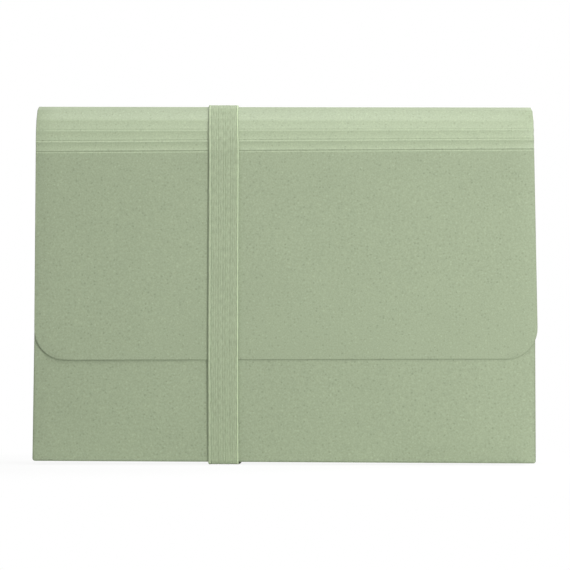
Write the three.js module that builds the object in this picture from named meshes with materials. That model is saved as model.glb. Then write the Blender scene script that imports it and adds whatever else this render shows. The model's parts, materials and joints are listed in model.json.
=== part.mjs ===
// An expanding file for A4 sheets: pockets between pleated sheets, a lid that rolls over the top on score
// lines, and an elastic band. Millimetres, +Z up, with the front towards -Y. The file stands on its bottom
// edge, and the origin is on the surface it stands on, under the middle of its box.
import * as THREE from 'three';

// Overall width, and how much narrower the front panel and the pleated pack are
const LID_WIDTH = 330;
const FRONT_INSET = 0.8;
const PACK_INSET = 1;

// Sheet thicknesses
const COVER = 0.8;
const DIVIDER = 0.45;
const GUSSET = 0.35;

// Pockets, counted from the front
const POCKETS = 5;
const POCKET_GAP = 5.2;
const DIVIDER_HEIGHT = 205;
const FRONT_DROP = 7;
const GUSSET_DROP = 11;
const SIDE_PLEAT = 14;
const BOTTOM_PLEAT = 11;

// Spine: the weights share half a turn among its score lines, from the back panel to the flap
const BEND_WEIGHTS = [45, 38, 32, 28, 15, 8, 7, 7];
const SCORE_GAP = 0.5;
const HEADROOM = 13.8;

// Flap and corners
const FLAP_LENGTH = 138;
const FLAP_CORNER = 18.5;
const COVER_CORNER = 1.8;
const SHEET_CORNER = 5;
const CURVE_STEPS = 8;

// Index tabs: a folded clear sleeve over the divider's top edge, with a card in it
const TAB_WIDTH = 52;
const TAB_GRIP = 5;
const TAB_WALL = 0.35;
const TAB_MARGIN = 22;
const CARD_WIDTH = 48;
const CARD_HEIGHT = 9;
const CARD = 0.4;

// Elastic band
const BAND_WIDTH = 20;
const BAND = 1.2;
const BAND_OFFSET = -41;

// Gaps between neighbours, and half the opening left along a folded ridge
const CLEARANCE = 0.3;
const RIDGE_HALF_GAP = 0.25;
const MITRE_GAP = 0.4;

// Depths, from the band's back run to its front run
const stackDepth = POCKETS * POCKET_GAP + (POCKETS - 1) * DIVIDER;
const coverDepth = COVER + stackDepth + COVER + CLEARANCE + COVER;
const backOuter = coverDepth / 2;
const flapOuter = -coverDepth / 2;
const backMiddle = backOuter - COVER / 2;
const flapMiddle = flapOuter + COVER / 2;
const frontMiddle = flapMiddle + COVER + CLEARANCE;

// Heights
const coverBottom = BAND + CLEARANCE;
const packBottom = coverBottom + PACK_INSET;
const dividerTop = packBottom + DIVIDER_HEIGHT;
const frontHeight = dividerTop - FRONT_DROP - coverBottom;
const gussetTop = dividerTop - GUSSET_DROP;
const cardBottom = dividerTop + CLEARANCE;
const tabTop = cardBottom + CARD_HEIGHT + CLEARANCE + TAB_WALL;
const spineBase = tabTop + HEADROOM;

// Widths
const packHalf = LID_WIDTH / 2 - FRONT_INSET - PACK_INSET;

// Spine strips: their pitch spans the file's depth once the score lines are bent
const weightSum = BEND_WEIGHTS.reduce((sum, weight) => sum + weight, 0);
const bends = BEND_WEIGHTS.map((weight) => (Math.PI * weight) / weightSum);
const tilts = bends.map((bend, i) => bends.slice(0, i + 1).reduce((sum, each) => sum + each, 0));
const stripTilts = tilts.slice(0, -1);
const stripPitch = (backMiddle - flapMiddle) / stripTilts.reduce((sum, tilt) => sum + Math.sin(tilt), 0);

// Materials
const coverFinish = { color: 0xa5b294, roughness: 0.55, metalness: 0 };
const dividerFinish = { color: 0xb0bc9f, roughness: 0.55, metalness: 0 };
const gussetFinish = { color: 0x9aa889, roughness: 0.6, metalness: 0 };
const tabFinish = { color: 0xe6ece6, roughness: 0.2, metalness: 0, transparent: true, opacity: 0.4 };
const cardFinish = { color: 0xf4f3ee, roughness: 0.9, metalness: 0 };
const elasticFinish = { color: 0xa0ad8f, roughness: 0.9, metalness: 0 };

const file = new THREE.Group();

function addMesh(name, geometry, finish, parent = file) {
  const mesh = new THREE.Mesh(geometry, new THREE.MeshStandardMaterial(finish));
  mesh.name = name;
  parent.add(mesh);
  return mesh;
}

// A flat plate in the XZ plane, its thickness centred on y = 0
function plateFrom(shape, thickness) {
  const options = { depth: thickness, bevelEnabled: false, curveSegments: CURVE_STEPS };
  const geometry = new THREE.ExtrudeGeometry(shape, options);
  geometry.rotateX(Math.PI / 2);
  geometry.translate(0, thickness / 2, 0);
  return geometry;
}

// A sheet from z = 0 up, centred on x = 0, with its own radius for the lower and the upper corners
function sheetShape(width, height, lowerRadius, upperRadius) {
  const half = width / 2;
  const lower = half - lowerRadius;
  const upper = half - upperRadius;
  const shoulder = height - upperRadius;
  const shape = new THREE.Shape();
  shape.moveTo(-lower, 0);
  shape.lineTo(lower, 0);
  if (lowerRadius > 0) shape.absarc(lower, lowerRadius, lowerRadius, -Math.PI / 2, 0);
  shape.lineTo(half, shoulder);
  if (upperRadius > 0) shape.absarc(upper, shoulder, upperRadius, 0, Math.PI / 2);
  shape.lineTo(-upper, height);
  if (upperRadius > 0) shape.absarc(-upper, shoulder, upperRadius, Math.PI / 2, Math.PI);
  shape.lineTo(-half, lowerRadius);
  if (lowerRadius > 0) shape.absarc(-lower, lowerRadius, lowerRadius, Math.PI, 1.5 * Math.PI);
  return shape;
}

function polygonShape(points) {
  return new THREE.Shape(points.map(([x, y]) => new THREE.Vector2(x, y)));
}

// Moves an open line of [y, z] points to its left by a distance, keeping its corners sharp
function offsetLine(points, distance) {
  const corners = points.map(([y, z]) => new THREE.Vector2(y, z));
  const normals = corners.slice(1).map((corner, i) => {
    const along = corner.clone().sub(corners[i]).normalize();
    return new THREE.Vector2(-along.y, along.x);
  });
  return corners.map((corner, i) => {
    const before = normals[Math.max(i - 1, 0)];
    const after = normals[Math.min(i, normals.length - 1)];
    const corrected = before.clone().add(after);
    corrected.multiplyScalar(distance / (1 + before.dot(after)));
    return [corner.x - corrected.x, corner.y - corrected.y];
  });
}

// The back panel, which carries the lid and the pack
function addBackPanel() {
  const height = spineBase - SCORE_GAP / 2 - coverBottom;
  const sheet = plateFrom(sheetShape(LID_WIDTH, height, COVER_CORNER, 0), COVER);
  const panel = addMesh('back_panel', sheet, coverFinish);
  panel.position.set(0, backMiddle, coverBottom);
}

// The spine strips and the flap, each carried by the one before it and bent at its score line
function addLid() {
  let carrier = file;
  let place = new THREE.Vector3(0, backMiddle, spineBase);
  bends.forEach((bend, i) => {
    const score = new THREE.Group();
    score.position.copy(place);
    score.rotation.x = bend;
    carrier.add(score);
    if (i < stripTilts.length) {
      const strip = new THREE.BoxGeometry(LID_WIDTH, COVER, stripPitch - SCORE_GAP);
      strip.translate(0, 0, stripPitch / 2);
      addMesh(`spine_strip_${i + 1}`, strip, coverFinish, score);
    } else {
      const length = FLAP_LENGTH - SCORE_GAP / 2;
      const flap = plateFrom(sheetShape(LID_WIDTH, length, 0, FLAP_CORNER), COVER);
      flap.translate(0, 0, SCORE_GAP / 2);
      addMesh('lid_flap', flap, coverFinish, score);
    }
    carrier = score;
    place = new THREE.Vector3(0, 0, stripPitch);
  });
}

function addFrontPanel() {
  const width = LID_WIDTH - 2 * FRONT_INSET;
  const sheet = plateFrom(sheetShape(width, frontHeight, COVER_CORNER, SHEET_CORNER), COVER);
  const panel = addMesh('front_panel', sheet, coverFinish);
  panel.position.set(0, frontMiddle, coverBottom);
}

// The middle of divider number k, counted from the front
function dividerMiddle(k) {
  return frontMiddle + COVER / 2 + k * (POCKET_GAP + DIVIDER) - DIVIDER / 2;
}

// A divider with its folded tab sleeve and the card inside it
function addDivider(k) {
  const sheet = plateFrom(sheetShape(2 * packHalf, DIVIDER_HEIGHT, 0, SHEET_CORNER), DIVIDER);
  addMesh(`divider_${k}`, sheet, dividerFinish).position.set(0, dividerMiddle(k), packBottom);

  const reach = packHalf - TAB_MARGIN - TAB_WIDTH / 2;
  const share = (k - 1) / (POCKETS - 2);
  const tabX = reach * (2 * share - 1);
  const inner = (DIVIDER + 2 * CLEARANCE) / 2;
  const outer = inner + TAB_WALL;
  const foot = dividerTop - TAB_GRIP;
  const roof = tabTop - TAB_WALL;
  const inside = [[-inner, foot], [-inner, roof], [inner, roof], [inner, foot]];
  const outside = [[outer, foot], [outer, tabTop], [-outer, tabTop], [-outer, foot]];
  const sleeve = extrudeAcross([...inside, ...outside], TAB_WIDTH);
  addMesh(`index_tab_${k}`, sleeve, tabFinish).position.set(tabX, dividerMiddle(k), 0);

  const card = new THREE.BoxGeometry(CARD_WIDTH, CARD, CARD_HEIGHT);
  card.translate(0, 0, cardBottom + CARD_HEIGHT / 2);
  addMesh(`tab_card_${k}`, card, cardFinish).position.set(tabX, dividerMiddle(k), 0);
}

// A section of [y, z] points, extruded along X and centred on x = 0
function extrudeAcross(section, width) {
  const geometry = new THREE.ExtrudeGeometry(polygonShape(section), { depth: width, bevelEnabled: false });
  geometry.translate(0, 0, -width / 2);
  const across = new THREE.Matrix4().makeBasis(
    new THREE.Vector3(0, 1, 0),
    new THREE.Vector3(0, 0, 1),
    new THREE.Vector3(1, 0, 0),
  );
  return geometry.applyMatrix4(across);
}

// The pleats of one pocket: two half-panels on each side and two along the bottom. Each is hinged on its
// sheet's edge and leans towards the middle of the pocket, where the two halves meet in a ridge.
function addPleats(pocket) {
  const frontFace = pocket === 1 ? frontMiddle + COVER / 2 : dividerMiddle(pocket - 1) + DIVIDER / 2;
  const hinge = CLEARANCE + GUSSET / 2;
  const lean = POCKET_GAP / 2 - hinge - RIDGE_HALF_GAP - GUSSET / 2;
  const sideAngle = Math.asin(lean / SIDE_PLEAT);
  const bottomAngle = Math.asin(lean / BOTTOM_PLEAT);
  const slope = BOTTOM_PLEAT / SIDE_PLEAT;
  const root = CLEARANCE;

  const sideShape = polygonShape([
    [root, packBottom + root * slope + MITRE_GAP],
    [SIDE_PLEAT, packBottom + BOTTOM_PLEAT + MITRE_GAP],
    [SIDE_PLEAT, gussetTop],
    [root, gussetTop],
  ]);
  const wide = packHalf - root / slope - MITRE_GAP;
  const narrow = packHalf - SIDE_PLEAT - MITRE_GAP;
  const bottomShape = polygonShape([
    [-wide, root],
    [wide, root],
    [narrow, BOTTOM_PLEAT],
    [-narrow, BOTTOM_PLEAT],
  ]);

  const halves = [
    { half: 'front', y: frontFace + hinge, turn: 1 },
    { half: 'rear', y: frontFace + POCKET_GAP - hinge, turn: -1 },
  ];
  for (const { half, y, turn } of halves) {
    const left = addMesh(`left_pleat_${pocket}_${half}`, plateFrom(sideShape, GUSSET), gussetFinish);
    left.position.set(-packHalf, y, 0);
    left.rotation.z = turn * sideAngle;

    const right = addMesh(`right_pleat_${pocket}_${half}`, plateFrom(sideShape, GUSSET), gussetFinish);
    right.position.set(packHalf, y, 0);
    right.rotation.z = Math.PI - turn * sideAngle;

    const bottom = addMesh(`bottom_pleat_${pocket}_${half}`, plateFrom(bottomShape, GUSSET), gussetFinish);
    bottom.position.set(0, y, packBottom);
    bottom.rotation.x = -turn * bottomAngle;
  }
}

// The elastic band: a loop drawn tight over the file, and the run that the file stands on
function addBand() {
  let y = backMiddle;
  let z = spineBase;
  const scores = [[y, z]];
  for (const tilt of stripTilts) {
    y -= stripPitch * Math.sin(tilt);
    z += stripPitch * Math.cos(tilt);
    scores.push([y, z]);
  }
  const flapEdge = z - FLAP_LENGTH;
  const end = BAND + CLEARANCE;
  const middles = [[backMiddle, end], ...scores, [flapMiddle, flapEdge], [frontMiddle, end]];
  const inner = offsetLine(middles, COVER / 2 + CLEARANCE);
  const outer = offsetLine(middles, COVER / 2 + CLEARANCE + BAND);
  const loop = extrudeAcross([...inner, ...outer.reverse()], BAND_WIDTH);
  addMesh('elastic_band', loop, elasticFinish).position.x = BAND_OFFSET;

  const back = backOuter + CLEARANCE + BAND;
  const front = frontMiddle - COVER / 2 - CLEARANCE - BAND;
  const foot = new THREE.BoxGeometry(BAND_WIDTH, back - front, BAND);
  foot.translate(BAND_OFFSET, (back + front) / 2, BAND / 2);
  addMesh('elastic_band_foot', foot, elasticFinish);
}

addBackPanel();
addLid();
addFrontPanel();
for (let k = 1; k < POCKETS; k += 1) addDivider(k);
for (let pocket = 1; pocket <= POCKETS; pocket += 1) addPleats(pocket);
addBand();

export default file;
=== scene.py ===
"""Looks of an A4 expanding file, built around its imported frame. Metres, +Z up, the front towards -Y."""
import json
import math

import bmesh
import bpy
from bpy.props import FloatProperty, FloatVectorProperty, IntProperty, PointerProperty
from mathutils import Matrix, Vector


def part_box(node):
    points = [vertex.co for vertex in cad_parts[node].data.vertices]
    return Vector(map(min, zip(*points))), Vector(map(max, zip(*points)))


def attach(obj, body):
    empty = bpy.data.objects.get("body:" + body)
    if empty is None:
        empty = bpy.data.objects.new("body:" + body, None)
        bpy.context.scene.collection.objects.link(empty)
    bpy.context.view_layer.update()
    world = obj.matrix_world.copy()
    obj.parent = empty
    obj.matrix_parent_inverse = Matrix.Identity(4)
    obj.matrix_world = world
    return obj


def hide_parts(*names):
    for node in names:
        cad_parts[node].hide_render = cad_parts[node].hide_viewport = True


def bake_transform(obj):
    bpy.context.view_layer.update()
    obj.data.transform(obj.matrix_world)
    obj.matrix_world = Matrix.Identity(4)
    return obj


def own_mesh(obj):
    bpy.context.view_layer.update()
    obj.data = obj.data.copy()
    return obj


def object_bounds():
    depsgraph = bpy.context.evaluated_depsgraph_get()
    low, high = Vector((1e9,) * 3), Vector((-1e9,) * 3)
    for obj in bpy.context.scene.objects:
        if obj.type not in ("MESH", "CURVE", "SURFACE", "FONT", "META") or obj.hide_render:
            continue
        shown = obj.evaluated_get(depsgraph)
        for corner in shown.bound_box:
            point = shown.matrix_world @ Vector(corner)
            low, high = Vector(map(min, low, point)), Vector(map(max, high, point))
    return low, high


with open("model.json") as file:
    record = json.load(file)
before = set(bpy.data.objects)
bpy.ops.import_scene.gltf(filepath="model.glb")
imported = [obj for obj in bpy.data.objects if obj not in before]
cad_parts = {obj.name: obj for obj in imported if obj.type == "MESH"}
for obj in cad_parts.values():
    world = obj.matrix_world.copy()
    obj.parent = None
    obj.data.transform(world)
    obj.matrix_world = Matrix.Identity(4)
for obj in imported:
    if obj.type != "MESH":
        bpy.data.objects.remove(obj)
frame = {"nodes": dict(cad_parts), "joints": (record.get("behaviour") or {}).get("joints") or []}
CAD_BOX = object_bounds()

bl_info = {
    "name": "Expanding File",
    "version": (1, 0, 0),
    "blender": (4, 5, 0),
    "location": "View3D > Sidebar > File",
    "description": "Builds a speckled expanding file with a scored lid, pleats and an elastic band",
    "category": "Object",
}

MM = 0.001

# What the frame holds
STRIPS = 7
POCKETS = 5
DIVIDERS = POCKETS - 1
JOINTS = {joint["name"]: joint for joint in frame["joints"]}
BACK_LOW, BACK_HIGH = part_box("back_panel")
FRONT_LOW, FRONT_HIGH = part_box("front_panel")
FLAP_LOW, FLAP_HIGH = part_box("lid_flap")
FOOT_LOW, FOOT_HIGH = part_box("elastic_band_foot")
LOOP_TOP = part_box("elastic_band")[1].z
BACK_MIDDLE = (BACK_LOW.y + BACK_HIGH.y) / 2
FRONT_MIDDLE = (FRONT_LOW.y + FRONT_HIGH.y) / 2
COVER = BACK_HIGH.y - BACK_LOW.y
BAND = FOOT_HIGH.z - FOOT_LOW.z
BAND_HALF = (FOOT_HIGH.x - FOOT_LOW.x) / 2
BAND_MIDDLE = (FOOT_LOW.x + FOOT_HIGH.x) / 2

# Distances in metres and bends in radians that count as none
TINY = 1e-7
STRAIGHT = 1e-3

# Sheets: thickness and painted shade at an edge, by distance in widths of the rounding, and the mesh
EDGE_STEPS = ((0.0, 0.25), (0.4, 0.75), (1.0, 1.0))
RIM_STEPS = ((0.0, 1.0), (0.4, 1.0), (1.0, 0.0))
PAINTED_RIM_SHADE = -2.0
CORNER_STEPS = 10
ROW_SPACING = 9 * MM
COLUMNS = 28
SHARP_ANGLE = math.radians(50)

# Score lines from the back panel to the flap: how hard each is pressed, and its section in half-widths
SCORE_PRESS = (0.6, 0.4, 0.2, 0.1, 0.15, 0.6, 1.0, 1.0)
SCORE_STEPS = (-1.0, -0.45, 0.0, 0.45, 1.0, 1.8, 2.4, 3.2)
SCORE_FLANK = 0.33
LIP_END = 1.8
# Paler far lip after each score line, less on the spine than at the flap: partly stress whitening, partly a
# painted highlight
LIP_STEPS = ((0.0, 0.0), (0.45, 0.7), (1.0, 1.0), (LIP_END, 0.0))
STRIP_LIP = 0.4
STRIP_ROWS = 7
# Painted highlight that makes the spine's front strips paler
PAINTED_HIGHLIGHT_STRIPS = 0.8

# The lid: each sheet with the bodies before and after its bend and its score lines, and how it has settled
LID_SHEETS = (
    ("spine_sheet_rear", "back", "spine_rear", 0, 3),
    ("spine_sheet_front", "spine_rear", "spine_front", 3, STRIPS),
    ("flap_sheet", "spine_front", "lid_flap", STRIPS, STRIPS + 1),
)
LAP = 0.75 * MM
WEB_REACH = 0.6
ROLL_END = 4
SLIP_FADE = 0.17
FLAP_END_LEAN = 0.5

# Dividers, tabs and pleats
DIVIDER_ROUNDING = 0.12 * MM
SLEEVE_WALL = 0.35 * MM
SLEEVE_EDGE = 0.12 * MM
SLEEVE_CORNER = 3 * MM
SLEEVE_ARC_STEPS = 8
CARD_EDGE = 0.1 * MM
CARD_CORNER = 1.2 * MM
FOLD_STEPS = 6

# The band: levels as shares of half its thickness, and its sewn lap
RIB_LEVEL = 0.86
RIB_STEPS = ((0.0, 0.0), (0.25, 0.75), (0.5, 1.0), (0.75, 0.75))
RIB_DEPTH = 0.65
RIB_UNEVENNESS = 0.35
RIB_BEAT = 2.3
SELVEDGE_STEPS = 6
SELVEDGE_LEVEL = 0.3
SELVEDGE_ROUND = 0.7
FRINGE_LEVEL = 0.2
# Painted shade on each selvedge's thin fringe and painted highlight on its crest, stronger on the right,
# the lit side
PAINTED_FRINGE_SHADE = -0.8
LEFT_FRINGE = 0.1 * MM
LEFT_PAINTED_HIGHLIGHT = 1.8
RIGHT_FRINGE = 0.3 * MM
RIGHT_PAINTED_HIGHLIGHT = 4.4
TURN_STEPS = 6
TURN_SHARE = 0.45
LAP_RISE = 0.8
LAP_SLOPE = 0.35 * MM
STITCHES = 12
STITCH_SWING = 1.3 * MM
STITCH_ROWS = (0.28, 0.72)
THREAD_RADIUS = 0.24 * MM
THREAD_SIDES = 6
THREAD_RINGS = ((0.0, 0.35), (0.12, 1.0), (0.88, 1.0), (1.0, 0.35))

# Materials: each pattern's cells per metre, and how far it moves the tone, the gloss or the surface
NOISE_MEAN = 0.5
MIDDLE_TONE = 0.5
GRAIN_SCALE = 1100.0
GRAIN_TONE = 1.1
GRAIN_GLOSS = 0.2
MOTTLE_SCALE = 24.0
MOTTLE_TONE = 0.2
FLECK_SCALE = 480.0
FLECK_RIM = 0.42
FLECK_CORE = 0.22
FLECK_BUMP = 0.5
DARK_ABOVE = 0.76
DARK_TONE = 0.32
PALE_BELOW = 0.2
PALE_TONE = 0.22
# Weight of the mesh's paleness in the tone: stress whitening with painted highlights, and painted shade at
# the rims
WHITENING_AND_PAINTED_LIGHT_TONE = 0.25
COVER_GRAIN_DEPTH = 0.05 * MM
FILM_GRAIN_DEPTH = 0.03 * MM
DIVIDER_SPECKLE = 0.7
FILM_SPECKLE = 0.6
YARN_SCALE = 1500.0
YARN_TONE = 0.2
YARN_DEPTH = 0.08 * MM
DASH_SCALE = 1300.0
DASH_STRETCH = 0.2
DASH_TONE = 0.55
PATCH_SCALE = 60.0
PATCH_TONE = 0.08
WEFT_STAGGER = 2.0
WEFT_TONE = 0.025
WEFT_BUMP = 0.5
# Painted highlight on the ribs' tops and selvedges, painted shade in the grooves and fringes
PAINTED_RIB_LIGHT = 0.145
ELASTIC_TONE = 0.125
TWIST_SCALE = 900.0
TWIST_DEPTH = 0.05 * MM
SCUFF_SCALE = 220.0
SCUFF_GLOSS = 0.2
SCUFF_DEPTH = 0.05 * MM
HAZE_SCALE = 40.0
HAZE_ALPHA = 0.16
FIBRE_SCALE = 700.0
FIBRE_TONE = 0.5
FIBRE_DEPTH = 0.04 * MM
CLOUD_SCALE = 90.0
CLOUD_TONE = 0.3

# The stage, in metres
LAMP_AIM = (0.02, 0.0, 0.12)
KEY_PLACE = (0.0, -0.4, 1.6)
KEY_SIZE = (0.8, 0.4)
SIDE_PLACE = (1.05, -1.25, 1.1)
SIDE_SIZE = (0.5, 0.35)
BACK_PLACE = (1.1, 1.0, 0.9)
BACK_SIZE = (0.8, 0.8)
WHITE = (1.0, 1.0, 1.0, 1.0)
FLOOR_REACH = 6.0
FLOOR_DROP = 0.3 * MM
FLOOR_PAINT = (0.92, 0.92, 0.92, 1.0)
FLOOR_SEEN_PAINT = (0.95, 0.95, 0.95, 1.0)
FLOOR_GLOW = 0.88
GLOW_NEAR = 0.2
GLOW_FAR = 0.5
PICTURE_WIDTH = 570
SENSOR_WIDTH = 36.0
CLIP_END = 30.0


# Settings that a user would change

def length(name, description, millimetres):
    """A setting that is a length."""
    return FloatProperty(
        name=name, description=description, default=millimetres * MM, unit="LENGTH", precision=5)


def angle(name, description, degrees):
    """A setting that is an angle."""
    return FloatProperty(
        name=name, description=description, default=math.radians(degrees), subtype="ANGLE")


def tint(name, description, paint):
    """A setting that is a colour."""
    return FloatVectorProperty(
        name=name, description=description, default=paint, subtype="COLOR", min=0, max=1)


def power(name, description, watts):
    """A setting that is the power of a lamp."""
    return FloatProperty(name=name, description=description, default=watts, subtype="POWER")


class SheetSettings(bpy.types.PropertyGroup):
    """Sizes of the cover sheets, the score lines and the pleats."""

    edge: length("Edge Rounding", "How far the lid's cut edge is rounded", 0.5)
    cover_edge: length("Cover Edge", "How far the front and back panels' pressed edges are rounded", 1.2)
    flap_lip: length("Flap Lip", "Thickness that is left at the flap's lower edge", 0.35)
    score_half: length("Score Half-Width", "Half the width of a pressed score line", 0.6)
    score_depth: length("Score Depth", "How deep a score line is pressed into the outer face", 0.29)
    strip_hollow: length(
        "Strip Hollow", "How far a strip of the spine sinks between two deep score lines", 0.3)
    flap_corner: length("Flap Corner", "Radius of the flap's lower corners", 20.5)
    cover_corner: length("Cover Corner", "Radius of the covers' lower corners", 1.8)
    front_top_corner: length("Front Top Corner", "Radius of the front panel's upper corners", 5)
    front_turn: angle("Front Turn", "How far the front panel has settled out of square, clockwise", 0.2265)
    front_shift: length("Front Shift", "How far the front panel has settled to the left", 0.66)
    lid_skew: angle(
        "Lid Skew", "How far the flap and the last two strips lie out of square, anticlockwise", 0.40)
    lid_shift: length("Lid Shift", "How far the back and the lid have settled to the left", 0.35)
    lid_slip: length("Lid Slip", "How far the front of the lid has slipped down where its roll ends", 0.9)
    roll_rise: length("Roll Rise", "How far the rolled top springs up from its folds", 0.3)
    flap_rest: length("Flap Rest", "Gap left between the flap's lower edge and the front panel", 0.03)
    flap_lift: length("Flap Lift", "How far the flap's lower left corner stands off the front panel", 0.45)
    lid_waist: length("Lid Waist", "How far each side of the lid draws in at the flap's score line", 0.5)
    film: length("Pleat Film", "Thickness of the pleated film", 0.35)
    fold_radius: length("Fold Radius", "Radius of a pleat's inner ridge", 0.42)


class BandSettings(bpy.types.PropertyGroup):
    """Sizes of the woven elastic band."""

    ribs: IntProperty(
        name="Ribs", description="Number of woven ribs between the selvedges", default=11, min=3)
    rib_height: length("Rib Height", "How far a rib stands proud of the grooves beside it", 0.17)
    left_selvedge: length("Left Selvedge", "Width of the rolled edge on the left", 1.8)
    right_selvedge: length("Right Selvedge", "Width of the rolled edge on the right", 1.2)
    gap: length("Gap", "Gap left between the stretched band and the sheets that it holds", 0.1)
    foot_drift: length(
        "Foot Drift", "How far the band lies to the right where it turns under the front", 0.9)
    foot_turn: length("Foot Turn", "Height over which the front run leans over to that place", 10)
    front_drift: length("Front Drift", "How far the band's front run lies to the right", 0.3)
    top_drift: length("Top Drift", "How far the band lies to the left where it passes over the top", 0.4)
    rear_drift: length(
        "Rear Drift", "How far the band lies to the right where it turns under the back", 1.8)
    lap_start: length("Lap Start", "Height at which the band's sewn lap begins on the back", 58)
    lap_length: length("Lap Length", "Length over which the band's two ends overlap", 14)
    corner: length("Corner", "Radius of the band's turn under the file", 2.2)
    weft_pitch: length("Weft Pitch", "Distance between two weft threads along the band", 0.55)


class FinishSettings(bpy.types.PropertyGroup):
    """Colours of the file's materials."""

    cover: tint("Cover", "Speckled polypropylene of the covers and the lid", (0.376, 0.445, 0.296))
    divider: tint("Divider", "Thin polypropylene of the dividers", (0.40, 0.47, 0.32))
    film: tint("Pleat Film", "Thin film of the pleats", (0.36, 0.43, 0.28))
    elastic: tint("Elastic", "Dyed yarn of the band", (0.395, 0.468, 0.31))
    sleeve: tint("Tab Sleeve", "Clear plastic of the index tabs", (0.86, 0.90, 0.86))
    card: tint("Tab Card", "Blank card in the index tabs", (0.88, 0.87, 0.83))


class StageSettings(bpy.types.PropertyGroup):
    """Camera and lamps."""

    camera_place: FloatVectorProperty(
        name="Camera Place", description="Where the camera stands",
        default=(-0.0025, -1.2017, 0.0294), subtype="TRANSLATION", unit="LENGTH")
    camera_pitch: angle("Camera Pitch", "How far the camera looks up", 4.235)
    camera_yaw: angle("Camera Yaw", "How far the camera looks to the right", 0.108)
    camera_roll: angle("Camera Roll", "How far the camera leans over", 0.073)
    focal_pixels: FloatProperty(
        name="Focal Length", description="Focal length in pixels of the picture", default=1813.0)
    key_power: power("Key Power", "Power of the lamp above", 14.8)
    side_power: power("Side Power", "Power of the lamp in front on the right", 17.4)
    back_power: power("Back Power", "Power of the lamp behind on the right", 21.0)
    ambient: FloatProperty(
        name="Ambient", description="Strength of the light from all round", default=0.03)


# Node trees

class Wire:
    """One output of a node. Maths on it adds Math nodes to the same tree."""

    def __init__(self, tree, socket):
        self.tree = tree
        self.socket = socket

    def other(self, output):
        return Wire(self.tree, self.socket.node.outputs[output])

    def math(self, operation, first, second):
        return self.tree.node("ShaderNodeMath", {"operation": operation}, {0: first, 1: second})

    def swing(self, weight):
        """A noise measured from its mean, times a weight."""
        return (self - NOISE_MEAN) * weight

    def __add__(self, value):
        return self.math("ADD", self, value)

    def __sub__(self, value):
        return self.math("SUBTRACT", self, value)

    def __mul__(self, value):
        return self.math("MULTIPLY", self, value)

    __radd__ = __add__

    def __gt__(self, value):
        return self.math("GREATER_THAN", self, value)

    def __lt__(self, value):
        return self.math("LESS_THAN", self, value)


class Tree:
    """The nodes of one material, or of the world."""

    def __init__(self, owner):
        self.owner = owner
        owner.use_nodes = True
        self.nodes = owner.node_tree.nodes
        self.links = owner.node_tree.links
        self.nodes.clear()

    def node(self, kind, settings=None, sockets=None, output=0):
        made = self.nodes.new(kind)
        for key, value in (settings or {}).items():
            setattr(made, key, value)
        for key, value in (sockets or {}).items():
            if isinstance(value, Wire):
                self.links.new(value.socket, made.inputs[key])
            else:
                made.inputs[key].default_value = value
        return Wire(self, made.outputs[output]) if made.outputs else None

    def place(self):
        """Place on the object, in its own axes."""
        return self.node("ShaderNodeTexCoord", output="Object")

    def attribute(self, name):
        """A value that the mesh holds at its corners."""
        return self.node("ShaderNodeAttribute", {"attribute_name": name}, output="Fac")

    def seen(self):
        """1 for what the camera sees, straight or by way of gloss or clear plastic."""
        path = self.node("ShaderNodeLightPath", output="Is Camera Ray")
        return path + path.other("Is Glossy Ray") + path.other("Is Transmission Ray")

    def mix(self, factor, first, second):
        """A mix of two colours, through the Mix node's colour sockets."""
        return self.node("ShaderNodeMix", {"data_type": "RGBA"}, {0: factor, 6: first, 7: second}, 2)

    def ramp(self, value, low, high):
        """0 where the value is at low, 1 where it is at high, and straight between."""
        settings = {"operation": "MULTIPLY_ADD", "use_clamp": True}
        return self.node("ShaderNodeMath", settings, {0: value, 1: 1 / (high - low), 2: low / (low - high)})

    def noise(self, place, scale, detail=2.0):
        return self.node("ShaderNodeTexNoise", {}, {"Vector": place, "Scale": scale, "Detail": detail})

    def tones(self, factor, colour, dark, pale):
        """A colour between a dark and a pale shade of it."""
        return self.mix(factor, shade(colour, dark), shade(colour, pale))

    def bump(self, height, strength, distance):
        sockets = {"Height": height, "Strength": strength, "Distance": distance}
        return self.node("ShaderNodeBump", {}, sockets)

    def surface(self, shader):
        """Ends the material with a shader, and gives the material."""
        self.node("ShaderNodeOutputMaterial", {}, {"Surface": shader})
        return self.owner

    def principled(self, sockets):
        return self.surface(self.node("ShaderNodeBsdfPrincipled", {}, sockets))


def shade(colour, factor):
    return tuple(min(channel * factor, 1.0) for channel in colour) + (1.0,)


def polypropylene(name, colour, speckle=1.0, grain_depth=COVER_GRAIN_DEPTH):
    """Matte recycled sheet: fine grain, soft mottling and flecks, paler on score lips (partly stress
    whitening, partly painted highlight), with painted highlights on strips and painted shade at rims.
    """
    tree = Tree(bpy.data.materials.new(name))
    place = tree.place()
    grain = tree.noise(place, GRAIN_SCALE)
    mottle = tree.noise(place, MOTTLE_SCALE, detail=3.0)
    cells = tree.node("ShaderNodeTexVoronoi", {}, {"Vector": place, "Scale": FLECK_SCALE})
    pick = tree.node("ShaderNodeSeparateColor", {}, {"Color": cells.other("Color")})
    spot = tree.ramp(cells, FLECK_RIM, FLECK_CORE)
    dark = spot * (pick > DARK_ABOVE)
    pale = spot * (pick < PALE_BELOW)
    tone = MIDDLE_TONE + grain.swing(GRAIN_TONE * speckle) + mottle.swing(MOTTLE_TONE)
    # Paleness from the mesh: score lips partly stress whitening and partly painted highlight, painted
    # highlight on the spine's front strips, painted shade at the cut rims
    tone = tone + tree.attribute("worked") * WHITENING_AND_PAINTED_LIGHT_TONE
    tone = tone - dark * (DARK_TONE * speckle) + pale * (PALE_TONE * speckle)
    return tree.principled({
        "Base Color": tree.tones(tone, colour, dark=0.78, pale=1.22),
        "Roughness": 0.5 + grain.swing(GRAIN_GLOSS),
        "Normal": tree.bump(grain + dark * FLECK_BUMP, strength=0.35, distance=grain_depth),
        "Specular IOR Level": 0.35})


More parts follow.
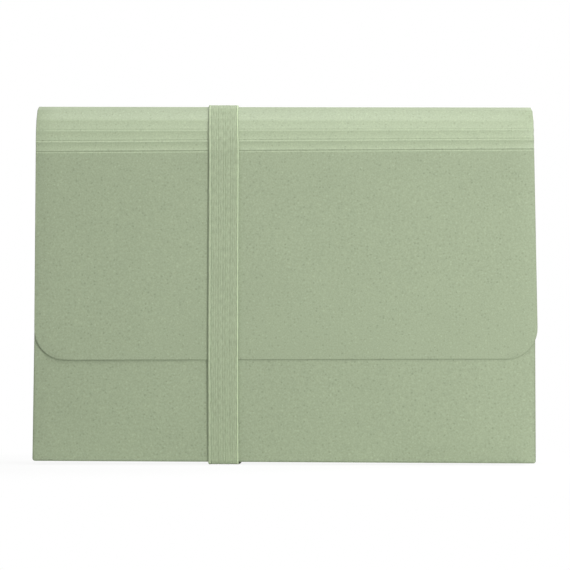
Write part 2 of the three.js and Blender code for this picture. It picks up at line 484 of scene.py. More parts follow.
def woven_elastic(name, colour, settings):
    """Ribbed yarn: each rib is a row of small weft bars, with a painted highlight on top and painted shade
    in the grooves.
    """
    tree = Tree(bpy.data.materials.new(name))
    along = tree.attribute("along")
    rib = tree.attribute("rib")
    place = tree.place()
    turn = along * (2 * math.pi / settings.weft_pitch)
    weft = tree.node("ShaderNodeMath", {"operation": "SINE"}, {0: turn + rib * WEFT_STAGGER})
    yarn = tree.noise(place, YARN_SCALE)
    patch = tree.noise(place, PATCH_SCALE)
    across = tree.node("ShaderNodeSeparateXYZ", {}, {0: place})
    lengthwise = tree.node("ShaderNodeCombineXYZ", {}, {0: across, 1: along * DASH_STRETCH})
    dash = tree.noise(lengthwise, DASH_SCALE)
    # The rib value paints highlights on ribs and selvedges and shade in grooves and fringes
    tone = ELASTIC_TONE + weft * WEFT_TONE + rib * PAINTED_RIB_LIGHT
    tone = tone + yarn.swing(YARN_TONE) + dash.swing(DASH_TONE) + patch.swing(PATCH_TONE)
    return tree.principled({
        "Base Color": tree.tones(tone, colour, dark=0.72, pale=2.0),
        "Roughness": 0.85,
        "Normal": tree.bump(weft * WEFT_BUMP + yarn, strength=0.5, distance=YARN_DEPTH),
        "Specular IOR Level": 0.2,
        "Sheen Weight": 0.15,
        "Sheen Roughness": 0.6})


def sewing_thread(name, colour):
    """Twisted thread, a little darker than the yarn that it holds."""
    tree = Tree(bpy.data.materials.new(name))
    twist = tree.node("ShaderNodeTexWave", {"bands_direction": "DIAGONAL"}, {
        "Vector": tree.place(), "Scale": TWIST_SCALE, "Distortion": 1.5}, "Fac")
    return tree.principled({
        "Base Color": tree.tones(twist, colour, dark=0.7, pale=1.05),
        "Roughness": 0.6,
        "Normal": tree.bump(twist, strength=0.5, distance=TWIST_DEPTH)})


def clear_plastic(name, colour):
    """Thin clear sleeve, lightly frosted and a little scuffed."""
    tree = Tree(bpy.data.materials.new(name))
    place = tree.place()
    scuff = tree.noise(place, SCUFF_SCALE, detail=4.0)
    haze = tree.noise(place, HAZE_SCALE)
    return tree.principled({
        "Base Color": shade(colour, 1.0),
        "Roughness": 0.12 + scuff * SCUFF_GLOSS,
        "Alpha": 0.22 + haze * HAZE_ALPHA,
        "Normal": tree.bump(scuff, strength=0.1, distance=SCUFF_DEPTH)})


def paper_card(name, colour):
    """Blank uncoated card with faint fibres."""
    tree = Tree(bpy.data.materials.new(name))
    place = tree.place()
    fibre = tree.noise(place, FIBRE_SCALE, detail=5.0)
    cloud = tree.noise(place, CLOUD_SCALE)
    tone = MIDDLE_TONE + fibre.swing(FIBRE_TONE) + cloud.swing(CLOUD_TONE)
    return tree.principled({
        "Base Color": tree.tones(tone, colour, dark=0.93, pale=1.06),
        "Roughness": 0.9,
        "Normal": tree.bump(fibre, strength=0.2, distance=FIBRE_DEPTH),
        "Specular IOR Level": 0.2})


def finish(name, maker, part, *values):
    """The material of that name in the colour of a part, made the first time it is asked for."""
    colour = getattr(bpy.context.scene.file_finish, part)[:]
    return bpy.data.materials.get(name) or maker(name, colour, *values)


def cover_finish():
    return finish("speckled_cover", polypropylene, "cover")


# Meshes

def add_piece(name, corners, faces, material, slot, values=None):
    """A mesh piece with its faces turned outwards, and named values at its corners."""
    mesh = bpy.data.meshes.new(name)
    mesh.from_pydata([tuple(corner) for corner in corners], [], faces)
    work = bmesh.new()
    work.from_mesh(mesh)
    bmesh.ops.recalc_face_normals(work, faces=work.faces)
    work.to_mesh(mesh)
    work.free()
    mesh.shade_smooth()
    mesh.set_sharp_from_angle(angle=SHARP_ANGLE)
    mesh.materials.append(material)
    for key, numbers in (values or {}).items():
        mesh.attributes.new(key, "FLOAT", "POINT").data.foreach_set("value", numbers)
    piece = bpy.data.objects.new(name, mesh)
    bpy.context.scene.collection.objects.link(piece)
    return piece


def outward(direction):
    """Outer side of a line in (y, z) that runs up the back, over the top and down the front."""
    return Vector((direction.y, -direction.x))


def upright(y, start, end):
    """An upright line in (y, z) from one height to another."""
    return [Vector((y, start)), Vector((y, end))]


def distances(points):
    """Distance of each point from the first one, along the line."""
    reached = [0.0]
    for before, after in zip(points, points[1:]):
        reached.append(reached[-1] + (after - before).length)
    return reached


def place_on(points, stops, along):
    """Point at a distance along the line, and its outer side, mitred where the line bends."""
    index = 0
    while index < len(points) - 2 and along > stops[index + 1] - TINY:
        index += 1
    direction = (points[index + 1] - points[index]).normalized()
    side = outward(direction)
    if index > 0 and abs(along - stops[index]) < TINY:
        before = outward((points[index] - points[index - 1]).normalized())
        side = (side + before) / (1 + side.dot(before))
    return points[index] + direction * (along - stops[index]), side


def offset_line(points, distance):
    """The line moved to its outer side by a distance."""
    stops = distances(points)
    return [points[i] + distance * place_on(points, stops, stop)[1] for i, stop in enumerate(stops)]


def corner_inset(distance, radius):
    """How far a rounded corner pulls a side in, at a distance from the sheet's end."""
    if distance >= radius:
        return 0.0
    return radius - math.sqrt(max(radius ** 2 - (radius - distance) ** 2, 0.0))


class Sheet:
    """A sheet that follows a line in (y, z) and spans X, with rounded edges, score lines and hollows."""

    shift = 0.0
    scores = ()
    hollows = ()
    lip = 0.0
    painted_highlight_steps = ((0.0, 0.0),)
    corners = (0.0, 0.0)
    rounded = (True, True)
    skew = 0.0
    pivot = 0.0
    lean_steps = ((0.0, 1.0),)
    shear_steps = ((0.0, 1.0),)
    waist_steps = ((0.0, 0.0),)
    lift_steps = ((0.0, 0.0),)

    def __init__(self, points, half, thickness, edge):
        self.points = points
        self.stops = distances(points)
        self.length = self.stops[-1]
        self.half = half
        self.thickness = thickness
        self.end_thickness = thickness
        self.edge = edge

    def rows(self):
        """Distances along the line at which the sheet needs a row of corners."""
        found = {0.0, self.length}
        found.update(self.stops)
        for stop, half_width, *_ in self.scores:
            found.update(stop + step * half_width for step in SCORE_STEPS)
        for before, after in zip(self.stops, self.stops[1:]):
            count = max(1, round((after - before) / ROW_SPACING))
            count = max(count, STRIP_ROWS) if self.hollows else count
            found.update(before + (after - before) * i / count for i in range(1, count))
        for end, radius in enumerate(self.corners):
            turns = (math.pi / 2 * i / CORNER_STEPS for i in range(1, CORNER_STEPS + 1))
            steps = [radius * (1 - math.cos(turn)) for turn in turns]
            steps += [step * self.edge for step, _ in EDGE_STEPS if self.rounded[end]]
            found.update(self.length - step if end else step for step in steps)
        ordered = sorted(along for along in found if -TINY <= along <= self.length + TINY)
        kept = [ordered[0]]
        for along in ordered[1:]:
            if along - kept[-1] > 2 * TINY:
                kept.append(along)
        return kept

    def from_end(self, along):
        """Distance from the nearest rounded end, in widths of the rounding."""
        reaches = zip((along, self.length - along), self.rounded)
        return min((reach / self.edge for reach, rounded in reaches if rounded), default=1.0)

    def drop(self, along):
        """How far the outer face is pressed in by score lines."""
        deepest = 0.0
        for stop, half_width, depth, _ in self.scores:
            away = abs(along - stop) / half_width
            if away < 1:
                deepest = max(deepest, depth * (1 - away) * (1 + SCORE_FLANK * away))
        return deepest

    def worked(self, along):
        """How pale the sheet is painted: the far lip of a score line, partly stress whitening and partly a
        painted highlight, and a painted highlight on the spine's front strips.
        """
        lips = (lip * stepped(LIP_STEPS, (along - stop) / half) for stop, half, _, lip in self.scores)
        pale = stepped(self.painted_highlight_steps, along)
        return pale + (1 - pale) * max(lips, default=0.0)

    def leaned(self, x, place, along):
        """A corner of the sheet, out of square by the skew it has there and lifted where it stands off."""
        lean = self.skew * stepped(self.lean_steps, along)
        shear = self.skew * stepped(self.shear_steps, along)
        lift = stepped(self.lift_steps, x) * along / self.length
        return (x + self.shift - (place.y - self.pivot) * shear, place.x - lift, place.y + x * lean)

    def sink(self, along):
        """How far the sheet sags between two bends, from the lip of the first one on."""
        for before, after, hollow in zip(self.stops, self.stops[1:], self.hollows):
            start = before + self.lip
            if start <= along <= after:
                share = (along - start) / (after - start)
                return 4 * hollow * share * (1 - share)
        return 0.0

    def build(self, name, material, slot):
        outer, inner, worked = [], [], []
        for along in self.rows():
            middle, side = place_on(self.points, self.stops, along)
            middle = middle - side * self.sink(along)
            inset = corner_inset(along, self.corners[0])
            inset += corner_inset(self.length - along, self.corners[1])
            half = self.half - inset - stepped(self.waist_steps, along)
            thickness = self.thickness + (self.end_thickness - self.thickness) * along / self.length
            end_near = self.from_end(along)
            share = stepped(EDGE_STEPS, end_near)
            above = thickness / 2 * share - self.drop(along)
            below = thickness / 2 * share
            outer.append([])
            inner.append([])
            for x, side_near in edge_columns(half, self.edge):
                column_share = stepped(EDGE_STEPS, side_near)
                rim = max(stepped(RIM_STEPS, end_near), stepped(RIM_STEPS, side_near))
                top = middle + side * above * column_share
                base = middle - side * below * column_share
                outer[-1].append(self.leaned(x, top, along))
                inner[-1].append(self.leaned(x, base, along))
                # Painted shade darkens the sheet towards its cut rims
                worked.append(self.worked(along) * (1 - rim) + PAINTED_RIM_SHADE * rim)
        values = {"worked": worked + [0.0] * len(worked)}
        return add_piece(name, *stitched(outer, inner), material, slot, values)


def stepped(steps, place):
    """Value at a place on a line of straight steps, level beyond both ends."""
    if place <= steps[0][0]:
        return steps[0][1]
    for (near, low), (far, high) in zip(steps, steps[1:]):
        if place <= far:
            return low + (high - low) * (place - near) / (far - near)
    return steps[-1][1]


def edge_columns(half, edge):
    """Places across a sheet, each with its distance from the side in widths of the rounding."""
    left = [(-half + step * edge, step) for step, _ in EDGE_STEPS]
    inner = half - edge
    middle = [(-inner + 2 * inner * i / COLUMNS, 1.0) for i in range(1, COLUMNS)]
    right = [(-x, step) for x, step in reversed(left)]
    return left + middle + right


def grid(rows, columns, first=0, ring=False, loop=False):
    """Faces between rows of corners. A ring closes each row, and a loop joins the last row to the first."""
    faces = []
    for row in range(rows if loop else rows - 1):
        near = first + row * columns
        far = first + (row + 1) % rows * columns
        for column in range(columns if ring else columns - 1):
            beside = (column + 1) % columns
            faces.append([near + column, near + beside, far + beside, far + column])
    return faces


def stitched(outer, inner):
    """Corners and faces of a closed sheet from the rows of its two faces."""
    rows, columns = len(outer), len(outer[0])
    corners = [corner for row in outer + inner for corner in row]
    back = rows * columns
    faces = grid(rows, columns)
    faces += [[back + corner for corner in reversed(square)] for square in faces]
    sides = [(row * columns + column, columns) for row in range(rows - 1) for column in (0, columns - 1)]
    ends = [(row * columns + column, 1) for row in (0, rows - 1) for column in range(columns - 1)]
    faces += [[first, first + step, back + first + step, back + first] for first, step in sides + ends]
    return corners, faces


def score_lines(sizes):
    """Middle of the settled lid sheet at each score line, from the back panel to the flap, as (y, z)."""
    lines = [Vector(JOINTS["lid_open"]["pos_m"][1:])]
    for number in range(1, STRIPS + 1):
        low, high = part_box(f"spine_strip_{number}")
        centre = (low + high) / 2
        lines.append(2 * Vector((centre.y, centre.z)) - lines[-1])
    for line in lines[1:ROLL_END]:
        line.y += sizes.roll_rise
    for number, line in enumerate(lines[ROLL_END:], ROLL_END):
        line.y -= slipped(sizes, number)
    return lines


def slipped(sizes, number):
    """How far the lid has slipped down at a score line, less and less towards the flap's lower edge."""
    return sizes.lid_slip * (1 - SLIP_FADE * (number - ROLL_END))


def rounded_line(points, radius):
    """An open line with each bend replaced by a smooth curve."""
    smooth = [points[0]]
    for before, corner, after in zip(points, points[1:], points[2:]):
        back = before - corner
        ahead = after - corner
        bend = math.pi - back.angle(ahead)
        if bend < STRAIGHT:
            smooth.append(corner)
            continue
        reach = min(radius * math.tan(bend / 2), TURN_SHARE * back.length, TURN_SHARE * ahead.length)
        start = corner + back.normalized() * reach
        end = corner + ahead.normalized() * reach
        for i in range(TURN_STEPS + 1):
            share = i / TURN_STEPS
            smooth.append(start * (1 - share) ** 2 + corner * 2 * share * (1 - share) + end * share ** 2)
    smooth.append(points[-1])
    return smooth


def add_thread(corners, faces, start, end):
    """Adds one stitch: a short round bar with drawn-in ends."""
    along = (end - start).normalized()
    across = along.cross(Vector((0, 1, 0))).normalized()
    up = across.cross(along)
    first = len(corners)
    for share, size in THREAD_RINGS:
        for side in range(THREAD_SIDES):
            turn = 2 * math.pi * side / THREAD_SIDES
            out = across * math.cos(turn) + up * math.sin(turn)
            corners.append(start.lerp(end, share) + out * THREAD_RADIUS * size)
    faces += grid(len(THREAD_RINGS), THREAD_SIDES, first, ring=True)
    faces.append([first + side for side in reversed(range(THREAD_SIDES))])
    faces.append([len(corners) - THREAD_SIDES + side for side in range(THREAD_SIDES)])


def sheet_faces(number):
    """Lowest and highest y of that sheet."""
    node = {0: "front_panel", POCKETS: "back_panel"}.get(number, f"divider_{number}")
    low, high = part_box(node)
    return low.y, high.y


def lapped(lines, number):
    """Point of the lid just before a score line, where the sheet before it ends and the next one begins."""
    before = lines[number - 1] if number else lines[0] - Vector((0, LAP))
    return lines[number] - (lines[number] - before).normalized() * LAP


def flap_edge(sizes):
    """Middle of the flap's lower edge, which rests on the front panel, as (y, z)."""
    level = FLAP_LOW.z - slipped(sizes, STRIPS + 1)
    return Vector((FRONT_LOW.y - sizes.flap_rest - sizes.flap_lip / 2, level))


# Operators

class FILE_OT_covers(bpy.types.Operator):
    """Makes the back panel and the front panel"""

    bl_idname = "file.covers"
    bl_label = "Covers"

    def execute(self, context):
        sizes = context.scene.file_sheets
        line = upright(BACK_MIDDLE, BACK_LOW.z, score_lines(sizes)[0].y - LAP)
        back = Sheet(line, BACK_HIGH.x, COVER, sizes.cover_edge)
        back.shift = -sizes.lid_shift
        back.corners = [sizes.cover_corner, 0.0]
        back.rounded = [True, False]
        piece = back.build("cover_back", cover_finish(), "cover")
        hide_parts("back_panel")
        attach(piece, "back")

        line = upright(FRONT_MIDDLE, FRONT_HIGH.z, FRONT_LOW.z)
        front = Sheet(line, FRONT_HIGH.x, COVER, sizes.cover_edge)
        front.corners = [sizes.front_top_corner, sizes.cover_corner]
        piece = front.build("cover_front", cover_finish(), "cover")
        foot = Vector((0, FRONT_MIDDLE, FRONT_LOW.z))
        shift = Matrix.Translation(Vector((-sizes.front_shift, 0, 0)))
        turn = Matrix.Rotation(sizes.front_turn, 4, "Y")
        piece.data.transform(shift @ Matrix.Translation(foot) @ turn @ Matrix.Translation(-foot))
        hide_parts("front_panel")
        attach(piece, "front")
        return {"FINISHED"}


class FILE_OT_lid(bpy.types.Operator):
    """Makes the scored spine and the flap"""

    bl_idname = "file.lid"
    bl_label = "Lid"

    def execute(self, context):
        sizes = context.scene.file_sheets
        lines = score_lines(sizes)
        for name, before, body, score, end_score in LID_SHEETS:
            is_flap = body == "lid_flap"
            end = flap_edge(sizes) if is_flap else lapped(lines, end_score)
            points = [lapped(lines, score)] + lines[score:end_score] + [end]
            sheet = Sheet(points, FLAP_HIGH.x, COVER, sizes.edge)
            sheet.shift = -sizes.lid_shift
            sheet.rounded = [False, is_flap]
            if is_flap:
                sheet.end_thickness = sizes.flap_lip
                sheet.corners = [0.0, sizes.flap_corner]
            self.press(sheet, body, sizes, SCORE_PRESS[score:])
            self.settle(sheet, body, sizes, lines)
            piece = sheet.build(name, cover_finish(), "cover")
            if is_flap:
                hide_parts("lid_flap")
            else:
                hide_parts(*[f"spine_strip_{i + 1}" for i in range(score, end_score)])
            ahead = (points[2] - points[1]).normalized() + (points[1] - points[0]).normalized()
            reach = ahead.normalized() * sizes.score_half * WEB_REACH
            near = points[1] - reach
            far = points[1] + reach
            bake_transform(piece)
        return {"FINISHED"}

    def press(self, sheet, body, sizes, presses):
        """Presses the score lines into one lid sheet, hollows its strips and paints paler lips and strips:
        lips partly stress whitening, partly painted highlight; front strips painted highlight.
        """
        lip = 1.0 if body == "lid_flap" else STRIP_LIP
        sheet.lip = LIP_END * sizes.score_half
        sheet.scores = [(stop, sizes.score_half, press * sizes.score_depth, press * lip)
                        for stop, press in zip(sheet.stops[1:-1], presses)]
        if body != "lid_flap":
            pairs = zip(presses, presses[1:])
            sheet.hollows = [0.0] + [sizes.strip_hollow * (near + far) / 2 for near, far in pairs]
        # Painted highlight on the spine's front strips
        if body == "spine_front":
            sheet.painted_highlight_steps = ((sheet.stops[1], 0.0), (sheet.stops[2], PAINTED_HIGHLIGHT_STRIPS))

    def settle(self, sheet, body, sizes, lines):
        """Puts one lid sheet out of square and draws its sides in, most at the flap's score line."""
        if body == "spine_rear":
            return
        sheet.skew = math.tan(sizes.lid_skew)
        sheet.pivot = lines[STRIPS].y
        if body == "lid_flap":
            sheet.lean_steps = ((0.0, 1.0), (sheet.length, FLAP_END_LEAN))
            sheet.waist_steps = ((0.0, sizes.lid_waist), (sheet.length, 0.0))
            sheet.lift_steps = ((-sheet.half, sizes.flap_lift), (BAND_MIDDLE, 0.0))
        else:
            sheet.lean_steps = ((sheet.stops[2], 0.0), (sheet.stops[4], 1.0))
            sheet.shear_steps = sheet.lean_steps
            sheet.waist_steps = ((sheet.stops[2], 0.0), (sheet.length, sizes.lid_waist))


class FILE_OT_dividers(bpy.types.Operator):
    """Finishes the dividers and makes their tab sleeves and cards"""

    bl_idname = "file.dividers"
    bl_label = "Dividers"

    def execute(self, context):
        sleeve_finish = finish("clear_sleeve", clear_plastic, "sleeve")
        card_finish = finish("tab_card", paper_card, "card")
        divider_finish = finish("divider_sheet", polypropylene, "divider", DIVIDER_SPECKLE)
        for number in range(1, DIVIDERS + 1):
            body = f"divider_{number}"
            node = frame["nodes"][body]
            node.data.materials.clear()
            node.data.materials.append(divider_finish)
            rounding = node.modifiers.new("edge_rounding", "BEVEL")
            rounding.width = DIVIDER_ROUNDING
            rounding.segments = 2
            rounding.limit_method = "ANGLE"
            self.add_sleeve(number, body, sleeve_finish)
            self.add_card(number, body, card_finish)
        return {"FINISHED"}

    def add_sleeve(self, number, body, material):
        low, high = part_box(f"index_tab_{number}")
        middle = (low.y + high.y) / 2
        reach = (high.y - low.y) / 2 - SLEEVE_WALL / 2
        top = high.z - SLEEVE_WALL / 2 - reach
        turns = (math.pi * i / SLEEVE_ARC_STEPS for i in range(SLEEVE_ARC_STEPS + 1))
        arc = [Vector((middle + reach * math.cos(turn), top + reach * math.sin(turn))) for turn in turns]
        line = [Vector((middle + reach, low.z))] + arc + [Vector((middle - reach, low.z))]
        sleeve = Sheet(line, (high.x - low.x) / 2, SLEEVE_WALL, SLEEVE_EDGE)
        sleeve.shift = (low.x + high.x) / 2
        sleeve.corners = [SLEEVE_CORNER, SLEEVE_CORNER]
        piece = sleeve.build(f"tab_sleeve_{number}", material, "clear_tab")
        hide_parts(f"index_tab_{number}")
        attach(piece, body)

    def add_card(self, number, body, material):
        low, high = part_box(f"tab_card_{number}")
        line = upright((low.y + high.y) / 2, high.z, low.z)
        card = Sheet(line, (high.x - low.x) / 2, high.y - low.y, CARD_EDGE)
        card.shift = (low.x + high.x) / 2
        card.corners = [CARD_CORNER, CARD_CORNER]
        piece = card.build(f"tab_label_{number}", material, "card")
        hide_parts(f"tab_card_{number}")
        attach(piece, body)


class FILE_OT_pleats(bpy.types.Operator):
    """Makes the pleated film of each pocket: both sides and the bottom in one folded strip"""

    bl_idname = "file.pleats"
    bl_label = "Pleats"

    def execute(self, context):
        sizes = context.scene.file_sheets
        side_low, side_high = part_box("left_pleat_1_front")
        bottom_low, bottom_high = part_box("bottom_pleat_1_front")
        rim = -side_low.x
        ridge = -side_high.x
        top = side_high.z
        base = bottom_low.z
        fold = bottom_high.z
        film_finish = finish("pleat_film", polypropylene, "film", FILM_SPECKLE, FILM_GRAIN_DEPTH)
        for pocket in range(1, POCKETS + 1):
            front = sheet_faces(pocket - 1)[1] + sizes.film / 2
            rear = sheet_faces(pocket)[0] - sizes.film / 2
            middle = (front + rear) / 2
            lines = [(rim, base, front)]
            for turn in (math.pi * i / FOLD_STEPS for i in range(FOLD_STEPS + 1)):
                depth = sizes.fold_radius * math.sin(turn)
                lines.append((ridge - depth, fold + depth, middle - sizes.fold_radius * math.cos(turn)))
            lines.append((rim, base, rear))
            corners = []
            for half, low, y in lines:
                corners += [(-half, y, top), (-half, y, low), (half, y, low), (half, y, top)]
            faces = grid(len(lines), len(corners) // len(lines))
            piece = add_piece(f"pleat_{pocket}", corners, faces, film_finish, "gusset")
            thick = piece.modifiers.new("film_thickness", "SOLIDIFY")
            thick.thickness = sizes.film
            thick.offset = 0
            halves = [f"{side}_pleat_{pocket}_{half}" for side in ("left", "right", "bottom")
                      for half in ("front", "rear")]
            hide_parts(*halves)
            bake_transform(piece)
        return {"FINISHED"}


class FILE_OT_band(bpy.types.Operator):
    """Makes the elastic band as one woven loop with ribs, rolled selvedges and a sewn lap at the back"""

    bl_idname = "file.band"
    bl_label = "Band"

    def execute(self, context):
        settings = context.scene.file_band
        line = self.loop_line(settings, context.scene.file_sheets)
        profile = self.profile(settings)
        stops = distances(line)
        corners, along, ribs = [], [], []
        for index, point in enumerate(line):
            ahead = (line[(index + 1) % len(line)] - line[index - 1]).normalized()
            side = outward(ahead)
            drift = self.drift(settings, point)
            lap = BAND * LAP_RISE * self.lap_share(settings, point)
            for x, height, rib in profile:
                place = point + side * (height + lap if height > 0 else height)
                corners.append((BAND_MIDDLE + drift + x, place.x, place.y))
                along.append(stops[index])
                ribs.append(rib)
        faces = grid(len(line), len(profile), ring=True, loop=True)
        material = finish("woven_elastic", woven_elastic, "elastic", settings)
        values = {"along": along, "rib": ribs}
        piece = add_piece("elastic_loop", corners, faces, material, "elastic", values)
        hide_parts("elastic_band", "elastic_band_foot")
        for part in (piece, self.add_stitches(settings)):
            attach(part, "band")
            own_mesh(part)
        return {"FINISHED"}

    def drift(self, settings, point):
        """How far the band lies to the right: the rear run slants, the front run leans only at its ends."""
        foot = FOOT_HIGH.z
        front = settings.front_drift
        rear = settings.rear_drift
        top = (LOOP_TOP, -settings.top_drift)
        if point.y < foot:
            return stepped(((FRONT_LOW.y, settings.foot_drift), (BACK_HIGH.y, rear)), point.x)
        if point.x > 0:
            return stepped(((foot, rear), top), point.y)
        turn = ((foot, settings.foot_drift), (foot + settings.foot_turn, front))
        return stepped(turn + ((FLAP_HIGH.z, front), top), point.y)

    def lap_share(self, settings, point):
        """1 where the band's two ends lie on each other at the back, and 0 elsewhere."""
        if point.x < BACK_HIGH.y:
            return 0.0
        steps = zip(self.lap_heights(settings), (0.0, 1.0, 1.0, 0.0))
        return stepped(list(steps), point.y)

    def lap_heights(self, settings):
        """Heights of the two ends of the lap, each with the top of its slope."""
        low = settings.lap_start
        high = low + settings.lap_length
        return [low, low + LAP_SLOPE, high - LAP_SLOPE, high]

    def loop_line(self, settings, sizes):
        """Middle of the band, drawn tight round the file, as a closed line in (y, z)."""
        lines = score_lines(sizes)
        low = FOOT_LOW.z + BAND / 2
        middles = [Vector((BACK_MIDDLE, height)) for height in [low] + self.lap_heights(settings)]
        middles += lines + [flap_edge(sizes), Vector((FRONT_MIDDLE, low))]
        loop = offset_line(middles, COVER / 2 + settings.gap + BAND / 2)
        start = Vector(((loop[0].x + loop[-1].x) / 2, low))
        loop[0].y = low
        loop[-1].y = low
        return rounded_line([start] + loop + [start], settings.corner)[:-1]

    def profile(self, settings):
        """Outline of the band's section round both faces, as (x, height, painted light: how far up a rib,
        with painted highlight on the selvedges and painted shade at their fringes).
        """
        left = self.rolled(settings.left_selvedge, LEFT_FRINGE, LEFT_PAINTED_HIGHLIGHT)
        right = self.rolled(settings.right_selvedge, RIGHT_FRINGE, RIGHT_PAINTED_HIGHLIGHT)
        first = -BAND_HALF + settings.left_selvedge
        pitch = (BAND_HALF - settings.right_selvedge - first) / settings.ribs
        face = [(x - BAND_HALF, height, rib) for x, height, rib in left]
        for rib in range(settings.ribs):
            depth = RIB_DEPTH + RIB_UNEVENNESS * math.cos(RIB_BEAT * rib)
            for step, share in RIB_STEPS:
                hollow = depth * (1 - share)
                height = BAND / 2 * RIB_LEVEL - settings.rib_height * hollow
                face.append((first + pitch * (rib + step), height, 1 - hollow))
        face += [(BAND_HALF - x, height, rib) for x, height, rib in reversed(right)]
        return face + [(x, -height, share) for x, height, share in reversed(face)]

    def rolled(self, width, fringe, shine):
        """Section of a selvedge, from its thin fringe inwards: (distance from the edge, height, painted
        light: shade at the fringe and highlight on the crest).
        """
        points = [(0.0, BAND / 2 * FRINGE_LEVEL, PAINTED_FRINGE_SHADE)]
        for i in range(SELVEDGE_STEPS + 1):
            turn = math.pi * i / SELVEDGE_STEPS
            crest = math.sin(turn)
            x = fringe + (width - fringe) / 2 * (1 - math.cos(turn))
            level = SELVEDGE_LEVEL + (1 - SELVEDGE_LEVEL) * crest ** SELVEDGE_ROUND
            points.append((x, BAND / 2 * level, shine * math.sqrt(crest)))
        return points

    def add_stitches(self, settings):
        """Two zigzag rows of thread that hold the lap."""
        span = BAND_HALF - settings.left_selvedge
        level = BACK_HIGH.y + settings.gap + BAND / 2 * (1 + RIB_LEVEL) + BAND * LAP_RISE
        corners, faces = [], []
        for share in STITCH_ROWS:
            row = settings.lap_start + settings.lap_length * share
            middle = BAND_MIDDLE + self.drift(settings, Vector((level, row)))
            left = middle - span
            turns = [Vector((left + 2 * span * i / STITCHES, level, row + STITCH_SWING * (-1) ** i))
                     for i in range(STITCHES + 1)]
            for start, end in zip(turns, turns[1:]):
                add_thread(corners, faces, start, end)
        material = finish("sewing_thread", sewing_thread, "elastic")
        return add_piece("band_stitches", corners, faces, material, "elastic")


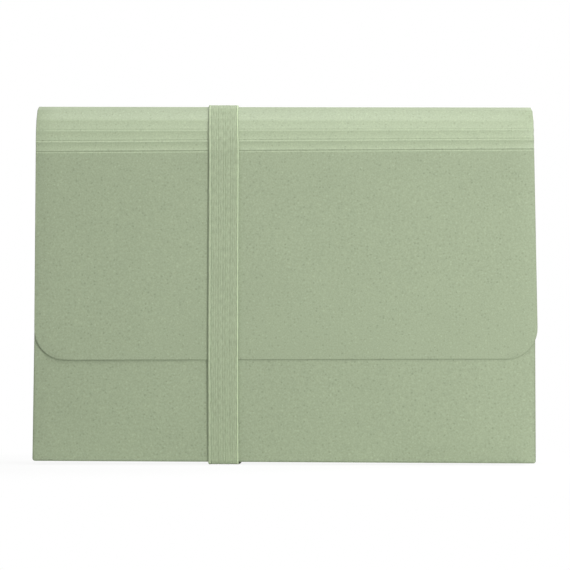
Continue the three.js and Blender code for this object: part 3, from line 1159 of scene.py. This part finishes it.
class FILE_OT_stage(bpy.types.Operator):
    """Makes the floor, the lamps, the white surroundings and the camera"""

    bl_idname = "file.stage"
    bl_label = "Stage"

    def execute(self, context):
        settings = context.scene.file_stage
        context.scene.view_settings.view_transform = "Standard"
        self.add_floor()
        self.add_lamp("key", settings.key_power, KEY_PLACE, KEY_SIZE)
        self.add_lamp("side", settings.side_power, SIDE_PLACE, SIDE_SIZE)
        self.add_lamp("back", settings.back_power, BACK_PLACE, BACK_SIZE)
        self.light_world(context.scene, settings)
        self.add_camera(context.scene, settings)
        return {"FINISHED"}

    def add_floor(self):
        """A white floor that keeps the object's shadow, fainter with distance."""
        level = CAD_BOX[0][2] - FLOOR_DROP
        signs = ((-1, -1), (1, -1), (1, 1), (-1, 1))
        square = [(x * FLOOR_REACH, y * FLOOR_REACH, level) for x, y in signs]
        mesh = bpy.data.meshes.new("floor")
        mesh.from_pydata(square, [], [[0, 1, 2, 3]])
        tree = Tree(bpy.data.materials.new("white_floor"))
        seen = tree.seen()
        paint = tree.mix(seen, FLOOR_PAINT, FLOOR_SEEN_PAINT)
        matte = tree.node("ShaderNodeBsdfDiffuse", {}, {"Color": paint})
        white = tree.node("ShaderNodeEmission", {}, {"Color": WHITE, "Strength": 1.0})
        away = tree.node("ShaderNodeVectorMath", {"operation": "LENGTH"}, {0: tree.place()}, "Value")
        glow = FLOOR_GLOW + tree.ramp(away, GLOW_NEAR, GLOW_FAR) * (1 - FLOOR_GLOW)
        both = tree.node("ShaderNodeMixShader", {}, {0: seen * glow, 1: matte, 2: white})
        mesh.materials.append(tree.surface(both))
        floor = bpy.data.objects.new("floor", mesh)
        bpy.context.scene.collection.objects.link(floor)

    def add_lamp(self, name, watts, place, size):
        lamp = bpy.data.lights.new(name, "AREA")
        lamp.energy = watts
        lamp.shape = "RECTANGLE"
        lamp.size, lamp.size_y = size
        holder = bpy.data.objects.new(name, lamp)
        holder.location = place
        holder.rotation_euler = (Vector(LAMP_AIM) - Vector(place)).to_track_quat("-Z", "Y").to_euler()
        bpy.context.scene.collection.objects.link(holder)

    def light_world(self, scene, settings):
        scene.world = scene.world or bpy.data.worlds.new("studio")
        tree = Tree(scene.world)
        soft = tree.node("ShaderNodeBackground", {}, {"Color": WHITE, "Strength": settings.ambient})
        white = tree.node("ShaderNodeBackground", {}, {"Color": WHITE, "Strength": 1.0})
        both = tree.node("ShaderNodeMixShader", {}, {0: tree.seen(), 1: soft, 2: white})
        tree.node("ShaderNodeOutputWorld", {}, {"Surface": both})

    def add_camera(self, scene, settings):
        data = bpy.data.cameras.new("camera")
        data.sensor_fit = "HORIZONTAL"
        data.sensor_width = SENSOR_WIDTH
        data.lens = SENSOR_WIDTH * settings.focal_pixels / PICTURE_WIDTH
        data.clip_end = CLIP_END
        pitch, yaw, roll = settings.camera_pitch, settings.camera_yaw, settings.camera_roll
        ahead = Vector((math.sin(yaw) * math.cos(pitch), math.cos(yaw) * math.cos(pitch), math.sin(pitch)))
        right = ahead.cross(Vector((0, 0, 1))).normalized()
        up = right.cross(ahead)
        leaned_right = right * math.cos(roll) + up * math.sin(roll)
        leaned_up = up * math.cos(roll) - right * math.sin(roll)
        turn = Matrix((leaned_right, leaned_up, -ahead)).transposed().to_4x4()
        camera = bpy.data.objects.new("camera", data)
        camera.matrix_world = Matrix.Translation(Vector(settings.camera_place)) @ turn
        scene.collection.objects.link(camera)
        scene.camera = camera


class FILE_PT_panel(bpy.types.Panel):
    """Lists the operators and settings of the expanding file"""

    bl_label = "Expanding File"
    bl_idname = "FILE_PT_panel"
    bl_space_type = "VIEW_3D"
    bl_region_type = "UI"
    bl_category = "File"

    def draw(self, context):
        for operator in OPERATORS:
            self.layout.operator(operator.bl_idname)
        for group in SETTINGS:
            settings = getattr(context.scene, group)
            for name in settings.bl_rna.properties.keys():
                if name not in ("rna_type", "name"):
                    self.layout.prop(settings, name)


OPERATORS = (FILE_OT_covers, FILE_OT_lid, FILE_OT_dividers, FILE_OT_pleats, FILE_OT_band, FILE_OT_stage)
SETTINGS = {
    "file_sheets": SheetSettings,
    "file_band": BandSettings,
    "file_finish": FinishSettings,
    "file_stage": StageSettings,
}
CLASSES = (*SETTINGS.values(), *OPERATORS, FILE_PT_panel)


def register():
    for made in CLASSES:
        bpy.utils.register_class(made)
    for name, group in SETTINGS.items():
        setattr(bpy.types.Scene, name, PointerProperty(type=group))


def unregister():
    for name in SETTINGS:
        delattr(bpy.types.Scene, name)
    for made in reversed(CLASSES):
        bpy.utils.unregister_class(made)


def main():
    register()
    bpy.ops.file.covers()
    bpy.ops.file.lid()
    bpy.ops.file.dividers()
    bpy.ops.file.pleats()
    bpy.ops.file.band()
    bpy.ops.file.stage()


if __name__ == "__main__":
    main()
